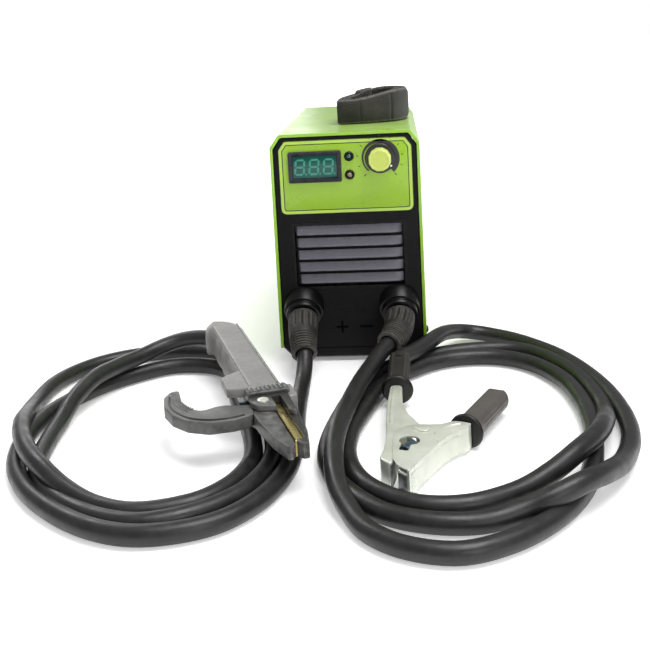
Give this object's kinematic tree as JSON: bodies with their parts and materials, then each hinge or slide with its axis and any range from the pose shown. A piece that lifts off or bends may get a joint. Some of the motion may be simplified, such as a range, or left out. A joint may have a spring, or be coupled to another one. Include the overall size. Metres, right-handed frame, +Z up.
{
  "type": "stick welding inverter",
  "caption": "Portable stick welding inverter in a folded green steel case with both welding leads, the electrode holder and the earth clamp laid in front.",
  "frame": {"origin": "the middle of the machine case's footprint, on the surface that the machine, the holder, the clamp and the leads stand on", "axes": "+X to the machine's right as seen from its front, +Y to its back, +Z up; the front panel faces -Y"},
  "size_m": [0.4682, 0.6175, 0.234],
  "materials": {
    "green_paint": "gloss",
    "lime_label": "satin",
    "black_plastic": "fine texture",
    "grey_plastic": "fine texture",
    "knob_yellow": "satin",
    "display_teal": "clear filter",
    "lens_green": "clear",
    "lens_amber": "clear",
    "plug_rubber": "matt",
    "cable_rubber": "satin",
    "brass": "bright",
    "zinc_steel": "zinc plated",
    "dark_steel": "blackened",
    "tray_steel": "black",
    "aluminium": "extruded",
    "circuit_board": "glass fibre board",
    "capacitor_sleeve": "shrink sleeve",
    "ferrite": "ferrite and copper winding",
    "holder_grey": "glass filled",
    "holder_dark": "glass filled",
    "grip_rubber": "dipped",
    "strap_webbing": "woven webbing",
    "foot_rubber": "matt"
  },
  "bodies": {
    "machine": {"cover": "green_paint", "base_tray": "tray_steel", "front_panel": "black_plastic", "louvre_grille": "grey_plastic", "control_plate": "lime_label", "display_bezel": "black_plastic", "display_window": "display_teal", "power_lamp_holder": "black_plastic", "power_lamp": "lens_green", "fault_lamp_holder": "black_plastic", "fault_lamp": "lens_amber", "potentiometer_body": "dark_steel", "socket_positive": "black_plastic", "socket_negative": "black_plastic", "socket_insert_positive": "brass", "socket_insert_negative": "brass", "plug_pin_positive": "brass", "plug_pin_negative": "brass", "plug_sleeve_positive": "plug_rubber", "plug_sleeve_negative": "plug_rubber", "electrode_lead": "cable_rubber", "earth_lead": "cable_rubber", "rear_panel": "black_plastic", "fan_frame": "black_plastic", "fan_guard": "dark_steel", "power_switch_body": "black_plastic", "mains_inlet": "black_plastic", "main_board": "circuit_board", "control_board": "circuit_board", "heatsink_rectifier": "aluminium", "heatsink_switch": "aluminium", "bus_capacitor_1": "capacitor_sleeve", "bus_capacitor_2": "capacitor_sleeve", "transformer": "ferrite", "output_choke": "ferrite", "bus_bar_positive": "brass", "bus_bar_negative": "brass", "foot_1": "foot_rubber", "foot_2": "foot_rubber", "foot_3": "foot_rubber", "foot_4": "foot_rubber", "strap": "strap_webbing", "strap_bracket": "tray_steel", "holder_handle": "holder_grey", "holder_head": "holder_dark", "holder_contact": "brass", "holder_pivot_pin": "zinc_steel", "holder_spring": "dark_steel", "clamp_arm_fixed": "zinc_steel", "clamp_grip_fixed": "grip_rubber", "clamp_rivet": "zinc_steel", "clamp_spring": "dark_steel"},
    "knob": {"current_knob": "black_plastic", "knob_cap": "knob_yellow", "potentiometer_shaft": "zinc_steel"},
    "fan": {"fan_rotor": "black_plastic"},
    "rocker": {"power_switch_rocker": "black_plastic"},
    "lever": {"holder_lever": "holder_grey"},
    "clamp_arm": {"clamp_arm_moving": "zinc_steel", "clamp_grip_moving": "grip_rubber"}
  },
  "joints": [
    {"name": "current_knob_turn", "type": "hinge", "parent": "machine", "child": "knob", "pos_m": [0.0305, -0.1453, 0.1815], "axis": [0, -1, 0], "range_deg": [-9, 261]},
    {"name": "fan_spin", "type": "hinge", "parent": "machine", "child": "fan", "pos_m": [0, 0.1237, 0.074], "axis": [0, 1, 0], "continuous": true},
    {"name": "power_rocker_tip", "type": "hinge", "parent": "machine", "child": "rocker", "pos_m": [-0.028, 0.1355, 0.158], "axis": [-1, 0, 0], "range_deg": [0, 14]},
    {"name": "holder_lever_press", "type": "hinge", "parent": "machine", "child": "lever", "pos_m": [-0.05479, -0.32383, 0.03], "axis": [0, 0, -1], "range_deg": [0, 17], "stiffness_Nm_per_rad": 4, "springref_deg": -28.65, "deforming": ["holder_spring"]},
    {"name": "clamp_squeeze", "type": "hinge", "parent": "machine", "child": "clamp_arm", "pos_m": [0.056, -0.333, 0.0105], "axis": [0, 0, 1], "range_deg": [0, 20], "stiffness_Nm_per_rad": 4, "springref_deg": -28.65, "deforming": ["clamp_spring"]}
  ]
}
